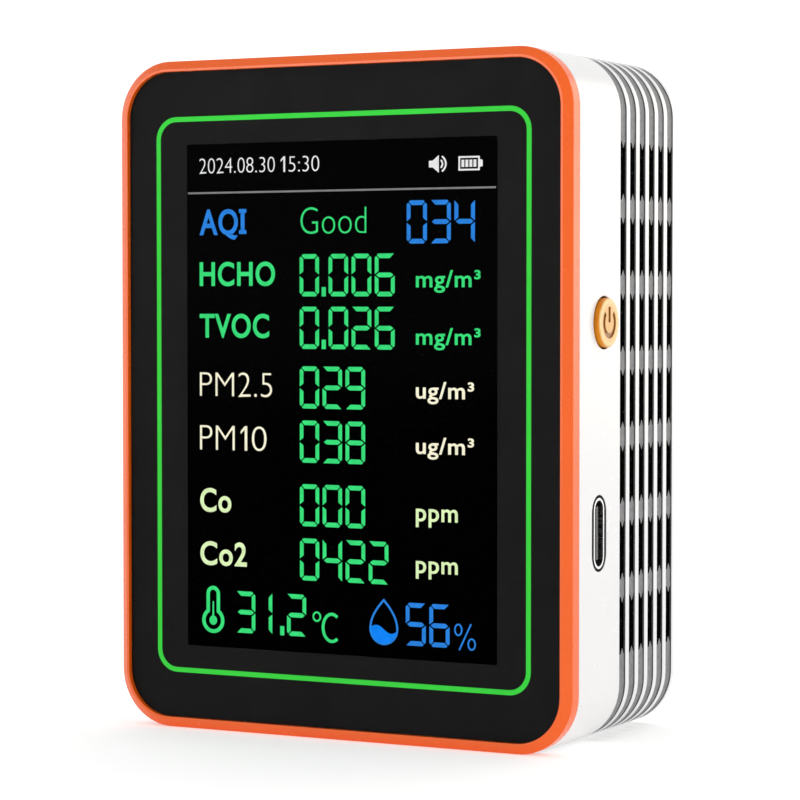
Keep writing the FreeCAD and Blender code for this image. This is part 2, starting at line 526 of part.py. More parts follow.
def socket_insert():
    """Black contact carrier with the central plate of a type C socket."""
    back = SHELL_MOUTH - SHELL_LENGTH + SHELL_WALL
    base = side_stadium(SHELL_IN, back, back + INSERT_BASE, SOCKET_T, SOCKET_Z)
    tall, thick = TONGUE_PLATE
    return base.fuse(block(back + INSERT_BASE - ROOT, SHELL_MOUTH - TONGUE_SINK, SOCKET_T - thick / 2,
                           SOCKET_T + thick / 2, SOCKET_Z - tall / 2, SOCKET_Z + tall / 2))


def on_board(width, tall, thick, x, z, lift=0.0):
    """A component that lies on the board's rear face, centred on x, z."""
    return block(x - width / 2, x + width / 2, BOARD_BACK + lift, BOARD_BACK + lift + thick,
                 z - tall / 2, z + tall / 2)


def round_on_board(radius, thick, x, z, rounded, hole, hole_depth):
    """A round component on the board's rear face, with a rounded rim and a hole in its top."""
    top = BOARD_BACK + thick
    body = rod(radius, BOARD_BACK, top, x, z)
    body = body.makeFillet(rounded, edges_at(body, top))
    return body.cut(rod(hole, top - hole_depth, top + OVER, x, z))


def board_chips():
    """Controller, memory, charger and driver chips, as separate solids."""
    return Part.makeCompound([on_board(*chip) for chip in CHIPS])


def board_connectors():
    """Battery, dust sensor and display-ribbon connectors, as separate solids."""
    ribbon = block(-RIBBON_CLAMP_HALF, RIBBON_CLAMP_HALF, RIBBON_CLAMP_FRONT, BOARD_FRONT, *RIBBON_CLAMP_Z)
    return Part.makeCompound([on_board(*BATTERY_PLUG), on_board(*SENSOR_PLUG), ribbon])


def buzzer():
    """Round sounder with a hole in its top."""
    return round_on_board(BUZZER_RADIUS, BUZZER_TALL, BUZZER_X, BUZZER_Z, 0.4, BUZZER_HOLE, 1.7)


def carbon_dioxide_sensor():
    """Infrared gas cell: a plated box with a raised filter window on it."""
    cell = on_board(*GAS_CELL)
    thick = GAS_CELL[2]
    corners = [e for e in cell.Edges if abs(e.BoundBox.YLength - thick) < 0.01]
    return cell.makeFillet(GAS_CELL_CORNER, corners).fuse(on_board(*GAS_WINDOW, thick))


def carbon_monoxide_sensor():
    """Round electrochemical cell with an inlet in its cap."""
    return round_on_board(*ROUND_CELL, 0.6, ROUND_CELL_INLET, 1.5)


def formaldehyde_sensor():
    """Square gas sensor with a round gauze cap on it."""
    thick, x, z = GAUZE_BASE[2:]
    top = BOARD_BACK + GAUZE_TALL
    cap = rod(GAUZE_RADIUS, BOARD_BACK + thick - ROOT, top, x, z)
    return on_board(*GAUZE_BASE).fuse(cap.makeFillet(0.4, edges_at(cap, top)))


def humidity_sensor():
    """Small temperature and humidity chip at the board's edge, with its sensing well."""
    thick, x, z = HUMIDITY_CHIP[2:]
    well = rod(HUMIDITY_WELL, BOARD_BACK + thick - 0.4, BOARD_BACK + thick + OVER, x, z)
    return on_board(*HUMIDITY_CHIP).cut(well)


# Dust sensor

def sensor_board():
    """Circuit board that closes the front of the dust sensor."""
    return plate(SENSOR_SIZE, SENSOR_BOARD_CORNER, SENSOR_BOARD_FRONT, SENSOR_TRAY_FRONT, SENSOR_X, SENSOR_Z)


def sensor_tray():
    """Plastic tray with the round fan chamber, the air duct beside it and the fan's pin."""
    tray = plate(SENSOR_SIZE, SENSOR_CORNER, SENSOR_TRAY_FRONT, SENSOR_TRAY_BACK, SENSOR_X, SENSOR_Z)
    top = SENSOR_TRAY_BACK + OVER
    tray = tray.cut(rod(FAN_HOUSING_RADIUS, SENSOR_FLOOR, top, FAN_X, FAN_Z))
    tray = tray.cut(block(*DUCT_X, SENSOR_FLOOR, top, *DUCT_Z))
    tray = tray.cut(block(*PASSAGE_X, SENSOR_FLOOR + PASSAGE_STEP, top, FAN_Z - PASSAGE_HALF,
                          FAN_Z + PASSAGE_HALF))
    return tray.fuse(rod(FAN_PIN_RADIUS, SENSOR_FLOOR - ROOT, FAN_PIN_END, FAN_X, FAN_Z))


def sensor_lid():
    """Thin metal lid with ring-shaped air slots over the fan."""
    lid_back = SENSOR_TRAY_BACK + SENSOR_LID_THICK
    lid = plate(SENSOR_SIZE, SENSOR_CORNER, SENSOR_TRAY_BACK, lid_back, SENSOR_X, SENSOR_Z)
    t0, t1 = SENSOR_TRAY_BACK - OVER, lid_back + OVER
    spokes = [block(FAN_X - dx, FAN_X + dx, t0, t1, FAN_Z - dz, FAN_Z + dz)
              for dx, dz in ((SPOKE_LENGTH, SPOKE_HALF), (SPOKE_HALF, SPOKE_LENGTH))]
    for inner in LID_SLOTS:
        slot = rod(inner + LID_SLOT_WIDTH, t0, t1, FAN_X, FAN_Z).cut(rod(inner, t0, t1, FAN_X, FAN_Z))
        lid = lid.cut(slot.cut(spokes))
    return lid


def fan_blade(angle):
    """One swept blade, from inside the hub to the tip."""
    def spot(radius, share, offset):
        turn = angle + FAN_SWEEP * share + offset / radius
        return Vector(FAN_X + radius * math.cos(turn), y_at(BLADE_START), FAN_Z + radius * math.sin(turn))

    half, middle = FAN_BLADE_THICK / 2, (BLADE_ROOT + FAN_RADIUS) / 2
    edges = []
    for offset in (half, -half):
        edges.append(Part.Arc(spot(BLADE_ROOT, 0, offset), spot(middle, FAN_MID_SWEEP, offset),
                              spot(FAN_RADIUS, 1, offset)).toShape())
    for radius, share in ((BLADE_ROOT, 0), (FAN_RADIUS, 1)):
        edges.append(Part.LineSegment(spot(radius, share, half), spot(radius, share, -half)).toShape())
    section = Part.Face(Part.Wire(Part.sortEdges(edges)[0]))
    return section.extrude(AXIS_Y * (BLADE_END - BLADE_START))


def fan_rotor():
    """Hub with a blind bore and swept blades, turning on the tray's pin."""
    hub = rod(FAN_HUB_RADIUS, FAN_FLOOR, FAN_TOP, FAN_X, FAN_Z)
    hub = hub.makeFillet(FAN_HUB_ROUND, edges_at(hub, FAN_TOP))
    rotor = hub.fuse([fan_blade(2 * math.pi * i / FAN_BLADES) for i in range(FAN_BLADES)])
    return rotor.cut(rod(FAN_BORE_RADIUS, FAN_FLOOR - OVER, FAN_BORE_END, FAN_X, FAN_Z))


def laser_diode():
    """Round laser can and its square holder, in the air duct."""
    can = Part.makeCylinder(LASER_RADIUS, LASER_LENGTH,
                            Vector(LASER_X, y_at(SENSOR_FLOOR + LASER_LIFT), LASER_Z), AXIS_Z)
    holder = block(LASER_X - HOLDER_HALF, LASER_X + HOLDER_HALF, SENSOR_FLOOR, SENSOR_FLOOR + HOLDER_DEPTH,
                   *HOLDER_Z)
    return holder.fuse(can)


def light_detector():
    """Photodiode on the duct's floor, under the beam."""
    return block(LASER_X - DETECTOR_HALF, LASER_X + DETECTOR_HALF, SENSOR_FLOOR,
                 SENSOR_FLOOR + DETECTOR_THICK, *DETECTOR_Z)


def sensor_connector():
    """Connector on the front of the dust sensor's board, for its lead."""
    x = SENSOR_PLUG[3]
    return block(x - LEAD_SOCKET_HALF, x + LEAD_SOCKET_HALF, SENSOR_BOARD_FRONT - LEAD_SOCKET_DEPTH,
                 SENSOR_BOARD_FRONT, *LEAD_SOCKET_Z)


def sensor_lead():
    """Thin wires between the dust sensor's connector and the main board's."""
    thick, middle, z_end = SENSOR_PLUG[2:]
    start, z_start = SENSOR_BOARD_FRONT - LEAD_SOCKET_DEPTH, sum(LEAD_SOCKET_Z) / 2
    wires = []
    for k in range(LEAD_WIRES):
        x = middle + (k - (LEAD_WIRES - 1) / 2) * LEAD_PITCH
        wires.append(wire_tube([(x, start, z_start), (x, 13.9, z_start), (x, 12.2, z_end),
                                (x, BOARD_BACK + thick, z_end)], LEAD_RADIUS))
    return Part.makeCompound(wires)


# Battery

def battery_cell():
    """Pouch cell with rounded front edges."""
    cell = plate(BATTERY_SIZE, BATTERY_CORNER, BATTERY_FRONT, BATTERY_BACK, 0, BATTERY_Z)
    return cell.makeFillet(BATTERY_ROUND, edges_at(cell, BATTERY_FRONT, 2.0))


def battery_tape():
    """Foam tape that holds the cell on the case's back wall."""
    return plate(BATTERY_TAPE_SIZE, 0.5, BATTERY_BACK, INSIDE_BACK, 0, BATTERY_Z)


def battery_lead():
    """Two wires from the cell's left end round to the battery connector."""
    thick, x_end, z_end = BATTERY_PLUG[2:]
    wires = []
    for k in range(2):
        z, t, end = 60.4 + 2.0 * k, 27.7 - k, z_end + (k - 0.5) * 1.6
        wires.append(wire_tube([(-BATTERY_SIZE[0] / 2, t, z), (-28.0, t, z), (-28.6, 20.5, z - 1.4),
                                (-27.6, 14.6, end + 0.6), (x_end, 13.8, end),
                                (x_end, BOARD_BACK + thick, end)], 0.6))
    return Part.makeCompound(wires)


NODES = {
    "front_frame": front_frame, "front_lens": front_lens, "border_line": border_line,
    "lens_mask": lens_mask, "lens_tape": lens_tape, "display_gasket": display_gasket,
    "display_glass": display_glass, "display_backlight": display_backlight,
    "display_ribbon": display_ribbon, "rear_case": rear_case,
    "vent_foam_right": lambda: vent_foam(1), "vent_foam_left": lambda: vent_foam(-1),
    "case_screws": case_screws, "main_board": main_board, "board_screws": board_screws,
    "power_button": power_button, "power_switch": power_switch, "switch_plunger": switch_plunger,
    "socket_shell": socket_shell, "socket_seal": socket_seal, "socket_insert": socket_insert,
    "board_chips": board_chips, "board_connectors": board_connectors, "buzzer": buzzer,
    "carbon_dioxide_sensor": carbon_dioxide_sensor, "carbon_monoxide_sensor": carbon_monoxide_sensor,
    "formaldehyde_sensor": formaldehyde_sensor, "humidity_sensor": humidity_sensor,
    "sensor_board": sensor_board, "sensor_tray": sensor_tray, "sensor_lid": sensor_lid,
    "fan_rotor": fan_rotor, "laser_diode": laser_diode, "light_detector": light_detector,
    "sensor_connector": sensor_connector, "sensor_lead": sensor_lead,
    "battery_cell": battery_cell, "battery_tape": battery_tape, "battery_lead": battery_lead,
}


def main():
    os.makedirs("parts", exist_ok=True)
    for name, make in NODES.items():
        shape = make()
        shape.exportStep(f"parts/{name}.step")
        print(f"{name}: {len(shape.Solids)} solids, valid {shape.isValid()}, {shape.Volume:.2f} mm3")


main()
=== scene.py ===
"""Looks, light and camera for the desktop air quality monitor.

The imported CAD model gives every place: metres, +Z up, the display facing -Y, the button on +X.
"""

import math

import bmesh
import bpy
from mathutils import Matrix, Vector


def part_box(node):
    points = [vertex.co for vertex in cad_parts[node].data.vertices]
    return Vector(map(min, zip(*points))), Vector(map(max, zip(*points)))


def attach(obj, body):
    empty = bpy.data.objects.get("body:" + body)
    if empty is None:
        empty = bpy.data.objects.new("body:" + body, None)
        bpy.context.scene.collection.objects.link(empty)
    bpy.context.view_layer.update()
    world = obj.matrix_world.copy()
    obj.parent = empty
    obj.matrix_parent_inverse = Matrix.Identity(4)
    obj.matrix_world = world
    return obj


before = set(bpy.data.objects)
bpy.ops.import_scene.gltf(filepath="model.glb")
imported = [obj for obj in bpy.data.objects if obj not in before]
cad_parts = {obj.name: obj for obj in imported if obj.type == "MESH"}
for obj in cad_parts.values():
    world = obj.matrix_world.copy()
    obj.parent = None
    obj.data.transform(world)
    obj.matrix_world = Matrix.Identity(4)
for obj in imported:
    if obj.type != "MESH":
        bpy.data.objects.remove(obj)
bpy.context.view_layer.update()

MM = 0.001
HOUSING = "housing"
case_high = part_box("rear_case")[1]
frame_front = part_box("front_frame")[0].y
glass_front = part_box("display_glass")[0].y
HALF_WIDTH = case_high.x
HEIGHT = case_high.z

# The white case: its corners as seen from the front, the rounding of its back edges, the depth of its side
# grooves, and where they start behind the frame's front
CORNER, BACK_ROUND = 7.5 * MM, 1.3 * MM
GROOVE_DIP, GROOVES_FROM = 0.2 * MM, 15.1 * MM


# Node materials

class Look:
    """A node material, with short calls that add nodes and join them."""

    def __init__(self, name):
        self.material = bpy.data.materials.new(name)
        self.material.use_nodes = True
        self.tree = self.material.node_tree
        self.tree.nodes.clear()
        self.output = self.tree.nodes.new("ShaderNodeOutputMaterial")
        self.place = self.tree.nodes.new("ShaderNodeTexCoord").outputs["Object"]

    def add(self, kind, inputs=(), **settings):
        """A new node. inputs maps socket names or numbers to values or to other nodes' outputs."""
        node = self.tree.nodes.new("ShaderNode" + kind)
        for key, value in settings.items():
            setattr(node, key, value)
        for key, value in dict(inputs).items():
            if isinstance(value, bpy.types.NodeSocket):
                self.tree.links.new(value, node.inputs[key])
            else:
                node.inputs[key].default_value = value
        return node

    def sum(self, operation, *values):
        """The result of one arithmetic operation."""
        return self.add("Math", dict(enumerate(values)), operation=operation).outputs[0]

    def stretched(self, scale):
        """The object's coordinates, scaled by three numbers."""
        return self.add("Mapping", {"Vector": self.place, "Scale": scale}).outputs[0]

    def noise(self, scale, detail=2.0, roughness=0.5, place=None):
        """Cloudy noise from 0 to 1, centred on one half."""
        inputs = {"Vector": place or self.place, "Scale": scale, "Detail": detail, "Roughness": roughness}
        return self.add("TexNoise", inputs).outputs[0]

    def spread(self, value, low, high, to_low, to_high):
        """A value mapped from one range to another, and kept inside it."""
        inputs = {"Value": value, "From Min": low, "From Max": high, "To Min": to_low, "To Max": to_high}
        return self.add("MapRange", inputs).outputs[0]

    def colours(self, value, *stops):
        """A colour ramp with (place, colour) stops."""
        node = self.add("ValToRGB", {"Fac": value})
        elements = node.color_ramp.elements
        while len(elements) < len(stops):
            elements.new(1.0)
        for element, (place, colour) in zip(elements, stops):
            element.position = place
            element.color = (*colour, 1.0)
        return node.outputs[0]

    def blend(self, share, first, second):
        """The first colour where share is 0, and the second where it is 1."""
        node = self.add("Mix", {0: share}, data_type="RGBA")
        for socket, colour in ((node.inputs[6], first), (node.inputs[7], second)):
            if isinstance(colour, bpy.types.NodeSocket):
                self.tree.links.new(colour, socket)
            else:
                socket.default_value = (*colour, 1.0)
        return node.outputs[2]

    def bump(self, height, strength, distance):
        """A normal tilted by a height value, whose full range stands for distance."""
        inputs = {"Height": height, "Strength": strength, "Distance": distance}
        return self.add("Bump", inputs).outputs[0]

    def principled(self, **inputs):
        """Ends the material with a Principled shader. Underscores in names stand for spaces."""
        named = {}
        for key, value in inputs.items():
            plain_colour = isinstance(value, tuple) and len(value) == 3
            named[key.replace("_", " ")] = (*value, 1.0) if plain_colour else value
        shader = self.add("BsdfPrincipled", named)
        self.tree.links.new(shader.outputs[0], self.output.inputs[0])
        return self.material


def near(colour, factor):
    """The colour made darker or lighter by a factor."""
    return tuple(channel * factor for channel in colour)


def moulded(name, colour, roughness=0.35, grain=0.06, grain_size=0.25, specular=0.5, tint=0.04):
    """Moulded plastic: slight mottling, uneven gloss and a fine surface grain, grain_size in mm."""
    look = Look(name)
    cloud = look.noise(90.0, 3.0)
    colours = look.colours(cloud, (0.3, near(colour, 1 - tint)), (0.7, near(colour, 1 + tint)))
    gloss = look.spread(look.noise(260.0, 4.0, 0.6), 0.3, 0.7, roughness * 0.85, roughness * 1.2)
    skin = look.noise(1.0 / (grain_size * MM), 2.0, 0.6)
    return look.principled(Base_Color=colours, Roughness=gloss, Normal=look.bump(skin, grain, 0.02 * MM),
                           Specular_IOR_Level=specular)


def metal(name, colour, roughness=0.3, stretch=(1.0, 30.0, 30.0)):
    """Metal with a drawn or brushed surface: fine streaks in gloss and height, and light staining."""
    look = Look(name)
    streaks = look.noise(60.0, 4.0, 0.7, look.stretched(stretch))
    stain = look.noise(140.0, 3.0)
    colours = look.colours(stain, (0.3, near(colour, 0.88)), (0.7, colour))
    gloss = look.spread(streaks, 0.3, 0.7, roughness * 0.7, roughness * 1.4)
    return look.principled(Base_Color=colours, Metallic=1.0, Roughness=gloss,
                           Normal=look.bump(streaks, 0.12, 0.02 * MM))


def circuit_board(name, colour):
    """Solder mask over a grid of tracks, with gold pads here and there."""
    look = Look(name)
    tracks = look.add("TexBrick", {"Vector": look.place, "Scale": 260.0,
                                   "Mortar Size": 0.03, "Color1": (*near(colour, 0.8), 1.0),
                                   "Color2": (*colour, 1.0), "Mortar": (*near(colour, 1.8), 1.0)})
    pads = look.add("TexVoronoi", {"Vector": look.place, "Scale": 420.0}).outputs["Distance"]
    share = look.spread(pads, 0.12, 0.16, 1.0, 0.0)
    colours = look.blend(share, tracks.outputs[0], (0.75, 0.55, 0.22))
    gloss = look.spread(look.noise(300.0), 0.3, 0.7, 0.3, 0.45)
    return look.principled(Base_Color=colours, Roughness=gloss, Metallic=look.spread(share, 0, 1, 0.0, 0.9),
                           Normal=look.bump(tracks.outputs[1], 0.2, 0.03 * MM))


def open_foam(name):
    """Black open-cell filter foam: dark pores between paler struts."""
    look = Look(name)
    cells = look.add("TexVoronoi", {"Vector": look.place, "Scale": 4200.0}, feature="DISTANCE_TO_EDGE")
    struts = look.spread(cells.outputs[0], 0.02, 0.16, 1.0, 0.0)
    flecks = look.spread(look.noise(1900.0, 3.0, 0.6), 0.62, 0.72, 0.0, 1.0)
    share = look.sum("MULTIPLY", struts, flecks)
    colours = look.blend(share, (0.0008, 0.0008, 0.0009), (0.07, 0.07, 0.075))
    return look.principled(Base_Color=colours, Roughness=0.95, Specular_IOR_Level=0.0,
                           Normal=look.bump(struts, 0.3, 0.05 * MM))


def side_distance(look, dip):
    """How far a point lies outside the case's rounded outline, whose sides are moved in by dip."""
    parts = look.add("SeparateXYZ", {0: look.place}).outputs
    across = look.sum("SUBTRACT", look.sum("ABSOLUTE", parts[0]), HALF_WIDTH - dip - CORNER)
    up = look.sum("SUBTRACT", look.sum("ABSOLUTE", look.sum("SUBTRACT", parts[2], HEIGHT / 2)),
                  HEIGHT / 2 - CORNER)
    outside = [look.sum("MAXIMUM", part, 0.0) for part in (across, up)]
    squares = [look.sum("MULTIPLY", part, part) for part in outside]
    length = look.sum("SQRT", look.sum("ADD", *squares))
    inside = look.sum("MINIMUM", look.sum("MAXIMUM", across, up), 0.0)
    return look.sum("SUBTRACT", look.sum("ADD", length, inside), CORNER)


def slotted_case(name):
    """Glossy white plastic, with painted shade in its grooves: grey painted shade on their floors, and
    near-black painted shade on their walls and in all holes.
    """
    look = Look(name)
    # The second colour, near-black, is the painted shade of the groove walls and the holes.
    white, wall_shade = (0.68, 0.68, 0.685), (0.006, 0.006, 0.006)
    skin_inner, skin_outer = -0.10 * MM, -0.06 * MM
    floor_inner, floor_outer = 0.015 * MM, 0.03 * MM
    cloud = look.noise(70.0, 3.0)
    shell = look.colours(cloud, (0.3, near(white, 0.992)), (0.7, near(white, 1.006)))
    along = look.add("SeparateXYZ", {0: look.place}).outputs[1]
    # The painted shade covers everything more than about 0.1 mm inside the case's outline, up to the rounding
    # of the back edges.
    below = look.spread(side_distance(look, 0.0), skin_inner, skin_outer, 1.0, 0.0)
    before_back = look.spread(along, case_high.y - BACK_ROUND, case_high.y - BACK_ROUND * 0.9, 1.0, 0.0)
    dark = look.sum("MULTIPLY", below, before_back)
    # On the grooves' floors, from GROOVES_FROM behind the frame's front, the painted shade is grey, mottled
    # at random.
    off_floor = look.sum("ABSOLUTE", side_distance(look, GROOVE_DIP))
    floor = look.spread(off_floor, floor_inner, floor_outer, 1.0, 0.0)
    grooved = look.spread(along, frame_front + GROOVES_FROM, frame_front + GROOVES_FROM * 1.01, 0.0, 1.0)
    floor_mottle = look.noise(1400.0, 3.0, 0.6)
    grey = look.colours(floor_mottle, (0.35, (0.17, 0.17, 0.175)), (0.65, (0.225, 0.225, 0.23)))
    groove_shade = look.blend(look.sum("MULTIPLY", floor, grooved), wall_shade, grey)
    colours = look.blend(dark, shell, groove_shade)
    gloss = look.spread(look.noise(240.0, 4.0, 0.6), 0.3, 0.7, 0.24, 0.28)
    skin = look.noise(3500.0, 2.0, 0.6)
    # Where the painted shade lies, the surface reflects less.
    return look.principled(Base_Color=colours, Roughness=gloss, Normal=look.bump(skin, 0.05, 0.02 * MM),
                           Specular_IOR_Level=look.spread(dark, 0.0, 1.0, 0.5, 0.02))


def clear_lens(name):
    """Coated clear sheet: seen through, with an uneven reflection that is weak except at a steep slant."""
    look = Look(name)
    steepness, slanted_mirror, facing_mirror = 5.0, 0.5, 0.0001
    smear = look.noise(45.0, 3.0, 0.6)
    gloss = look.add("BsdfGlossy", {"Color": (1.0, 1.0, 1.0, 1.0),
                                    "Roughness": look.spread(smear, 0.3, 0.7, 0.06, 0.14)})
    clear = look.add("BsdfTransparent", {"Color": (1.0, 1.0, 1.0, 1.0)})
    slant = look.add("LayerWeight", {"Blend": 0.5}).outputs["Facing"]
    growth = look.sum("MULTIPLY", look.sum("POWER", slant, steepness), slanted_mirror)
    mirror = look.sum("ADD", growth, facing_mirror)
    both = look.add("MixShader", {0: mirror, 1: clear.outputs[0], 2: gloss.outputs[0]})
    look.tree.links.new(both.outputs[0], look.output.inputs[0])
    return look.material


def lit(name, colour):
    """A lit part of the display: even light with a faint unevenness."""
    look = Look(name)
    patches = look.noise(900.0, 2.0)
    colours = look.colours(patches, (0.3, near(colour, 0.9)), (0.7, near(colour, 1.08)))
    return look.principled(Base_Color=(0.0, 0.0, 0.0), Roughness=0.6, Specular_IOR_Level=0.0,
                           Emission_Color=colours, Emission_Strength=1.0)


def amber_button(name):
    """Pearly cap: a pale cream face whose middle is darkened with painted shade of its dish, deep amber sides
    and a brown symbol sunk in the face.
    """
    look = Look(name)
    low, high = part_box("power_button")
    centre = (low + high) / 2
    pale_to, deep_from = 1.9 * MM, 2.7 * MM
    symbol_edge, symbol_depth = 2.5 * MM, 0.16 * MM
    parts = look.add("SeparateXYZ", {0: look.place}).outputs
    away_y = look.sum("SUBTRACT", parts[1], centre.y)
    away_z = look.sum("SUBTRACT", parts[2], centre.z)
    radius = look.sum("SQRT", look.sum("ADD", look.sum("MULTIPLY", away_y, away_y),
                                       look.sum("MULTIPLY", away_z, away_z)))
    pearl = look.noise(500.0, 3.0, 0.6)
    # The face is tan in the middle and paler towards its rim: painted shade of the dished face, varied by the
    # pearl noise.
    rim = look.spread(radius, pale_to, deep_from, 0.0, 1.0)
    cream = look.blend(look.sum("MULTIPLY", rim, look.spread(pearl, 0.2, 0.6, 0.6, 1.0)),
                       (0.60, 0.31, 0.075), (0.70, 0.49, 0.20))
    amber = look.blend(look.spread(pearl, 0.35, 0.65, 0.0, 1.0),
                       (0.66, 0.175, 0.002), (0.78, 0.26, 0.004))
    below_face = look.spread(parts[0], high.x - symbol_depth, high.x - symbol_depth / 4, 1.0, 0.0)
    outer = look.spread(radius, symbol_edge, symbol_edge + 0.1 * MM, 0.0, 1.0)
    colours = look.blend(look.sum("MULTIPLY", below_face, outer), cream, amber)
    sunk = look.sum("MULTIPLY", below_face, look.sum("SUBTRACT", 1.0, outer))
    colours = look.blend(sunk, colours, (0.20, 0.055, 0.003))
    return look.principled(Base_Color=colours, Roughness=look.spread(pearl, 0.3, 0.7, 0.22, 0.34),
                           Coat_Weight=look.spread(below_face, 0.0, 1.0, 0.2, 0.0), Coat_Roughness=0.08,
                           Specular_IOR_Level=0.25, Normal=look.bump(pearl, 0.04, 0.03 * MM))


def contact_plate(name):
    """Black plastic, grey at the front edge of the socket's central plate."""
    look = Look(name)
    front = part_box("socket_insert")[1].x
    across = look.add("SeparateXYZ", {0: look.place}).outputs[0]
    edge = look.spread(across, front - 0.06 * MM, front - 0.02 * MM, 0.0, 1.0)
    plate_mottle = look.noise(900.0, 3.0, 0.6)
    grey = look.blend(look.spread(plate_mottle, 0.3, 0.7, 0.0, 1.0), (0.11, 0.11, 0.11), (0.15, 0.15, 0.15))
    colours = look.blend(edge, (0.006, 0.006, 0.006), grey)
    return look.principled(Base_Color=colours, Roughness=0.6, Specular_IOR_Level=0.1,
                           Normal=look.bump(plate_mottle, 0.05, 0.02 * MM))


def dress(material, *nodes):
    """Gives a material to CAD nodes, whose shapes stay as they are."""
    for node in nodes:
        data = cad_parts[node].data
        data.materials.clear()
        data.materials.append(material)


def dress_outside():
    """Materials of the pieces that can be seen from outside."""
    dress(moulded("orange_plastic", (0.79, 0.105, 0.003), 0.25, 0.05, 0.3, specular=0.4, tint=0.03),
          "front_frame")
    dress(clear_lens("lens_sheet"), "front_lens")
    dress(moulded("mask_print", (0.0064, 0.0062, 0.0062), 0.5, 0.05, 0.15, specular=0.05, tint=0.08),
          "lens_mask")
    dress(moulded("line_print", (0.034, 0.62, 0.044), 0.5, 0.05, 0.15, specular=0.15), "border_line")
    dress(moulded("dark_glass", (0.0003, 0.0003, 0.0003), 0.3, 0.02, 0.3, specular=0.0), "display_glass")
    dress(slotted_case("white_case"), "rear_case")
    dress(open_foam("filter_foam"), "vent_foam_left", "vent_foam_right")
    dress(amber_button("amber_button"), "power_button")
    dress(metal("socket_metal", (0.86, 0.86, 0.87), 0.22), "socket_shell")
    dress(contact_plate("socket_plate"), "socket_insert")
    dress(moulded("seal_rubber", (0.006, 0.006, 0.006), 0.8, 0.2, specular=0.1), "socket_seal")
    dress(metal("screw_metal", (0.50, 0.51, 0.53), 0.32), "case_screws", "board_screws")


def dress_inside():
    """Materials of the pieces inside the case."""
    dress(moulded("foam_tape", (0.03, 0.03, 0.03), 0.9, 0.4, 0.2), "lens_tape", "display_gasket")
    dress(metal("tray_metal", (0.62, 0.63, 0.65), 0.35), "display_backlight")
    dress(moulded("amber_film", (0.60, 0.26, 0.03), 0.3, 0.05), "display_ribbon")
    dress(circuit_board("green_board", (0.01, 0.16, 0.05)), "main_board")
    dress(circuit_board("blue_board", (0.01, 0.05, 0.22)), "sensor_board")
    dress(moulded("black_parts", (0.02, 0.02, 0.021), 0.4, 0.2, 0.12), "power_switch", "board_chips",
          "buzzer", "light_detector")
    dress(moulded("ivory_parts", (0.78, 0.74, 0.62), 0.45, 0.1), "board_connectors", "sensor_connector",
          "switch_plunger", "humidity_sensor")
    dress(metal("gold_plate", (0.85, 0.62, 0.25), 0.25), "carbon_dioxide_sensor", "laser_diode")
    dress(metal("can_metal", (0.60, 0.61, 0.63), 0.3), "carbon_monoxide_sensor", "sensor_lid")
    dress(moulded("grey_parts", (0.11, 0.115, 0.125), 0.5, 0.15), "formaldehyde_sensor")
    dress(moulded("tray_black", (0.025, 0.025, 0.027), 0.5, 0.2), "sensor_tray", "fan_rotor")
    dress(moulded("black_wire", (0.02, 0.02, 0.02), 0.4, 0.05), "sensor_lead")
    dress(moulded("red_wire", (0.45, 0.02, 0.015), 0.4, 0.05), "battery_lead")
    dress(metal("pouch_foil", (0.68, 0.69, 0.71), 0.4, (1.0, 1.0, 1.0)), "battery_cell")
    dress(moulded("pale_tape", (0.72, 0.70, 0.62), 0.8, 0.3, 0.4), "battery_tape")


# The display's lit figures: flat shapes just in front of its glass, in millimetres as seen from the front

LAYER_FRONT, LAYER_THICK = 0.06 * MM, 0.04 * MM


def add_piece(name, mesh, material):
    """A piece of the display, riding on the housing."""
    mesh.materials.clear()
    mesh.materials.append(material)
    piece = bpy.data.objects.new(name, mesh)
    bpy.context.scene.collection.objects.link(piece)
    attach(piece, HOUSING)
    return piece


def flat_piece(name, outlines, material):
    """Flat shapes from outlines of (x, z) points in mm, with a little thickness."""
    build = bmesh.new()
    y = glass_front - LAYER_FRONT
    for outline in outlines:
        build.faces.new([build.verts.new((x * MM, y, z * MM)) for x, z in outline])
    bmesh.ops.remove_doubles(build, verts=build.verts, dist=0.001 * MM)
    sheet = bmesh.ops.extrude_face_region(build, geom=list(build.faces))
    moved = [part for part in sheet["geom"] if isinstance(part, bmesh.types.BMVert)]
    bmesh.ops.translate(build, verts=moved, vec=(0, LAYER_THICK, 0))
    bmesh.ops.recalc_face_normals(build, faces=build.faces)
    bmesh.ops.triangulate(build, faces=build.faces)
    mesh = bpy.data.meshes.new(name)
    build.to_mesh(mesh)
    build.free()
    return add_piece(name, mesh, material)


def stroke(points, width, closed=False):
    """A line of a given width through points, as four-sided outlines with mitred joints."""
    count = len(points)
    path = [Vector(point) for point in points]
    sides = []
    for i, point in enumerate(path):
        before = path[i - 1] if closed or i else point
        after = path[(i + 1) % count] if closed or i < count - 1 else point
        into = (point - before).normalized() if point != before else (after - point).normalized()
        out = (after - point).normalized() if after != point else into
        normal = Vector((-into.y - out.y, into.x + out.x)).normalized()
        reach = width / 2 / max(0.5, normal.dot(Vector((-into.y, into.x))))
        sides.append((point + normal * reach, point - normal * reach))
    runs = range(count if closed else count - 1)
    return [(sides[i][0], sides[(i + 1) % count][0], sides[(i + 1) % count][1], sides[i][1]) for i in runs]


def arc(x, z, radius_x, radius_z, start, end, steps=24):
    """Points on an ellipse between two angles in degrees."""
    angles = [math.radians(start + (end - start) * i / steps) for i in range(steps + 1)]
    return [(x + radius_x * math.cos(a), z + radius_z * math.sin(a)) for a in angles]


def oval(x, z, radius_x, radius_z, steps=28):
    """Points all the way round an ellipse."""
    return arc(x, z, radius_x, radius_z, 0, 360, steps)[:-1]


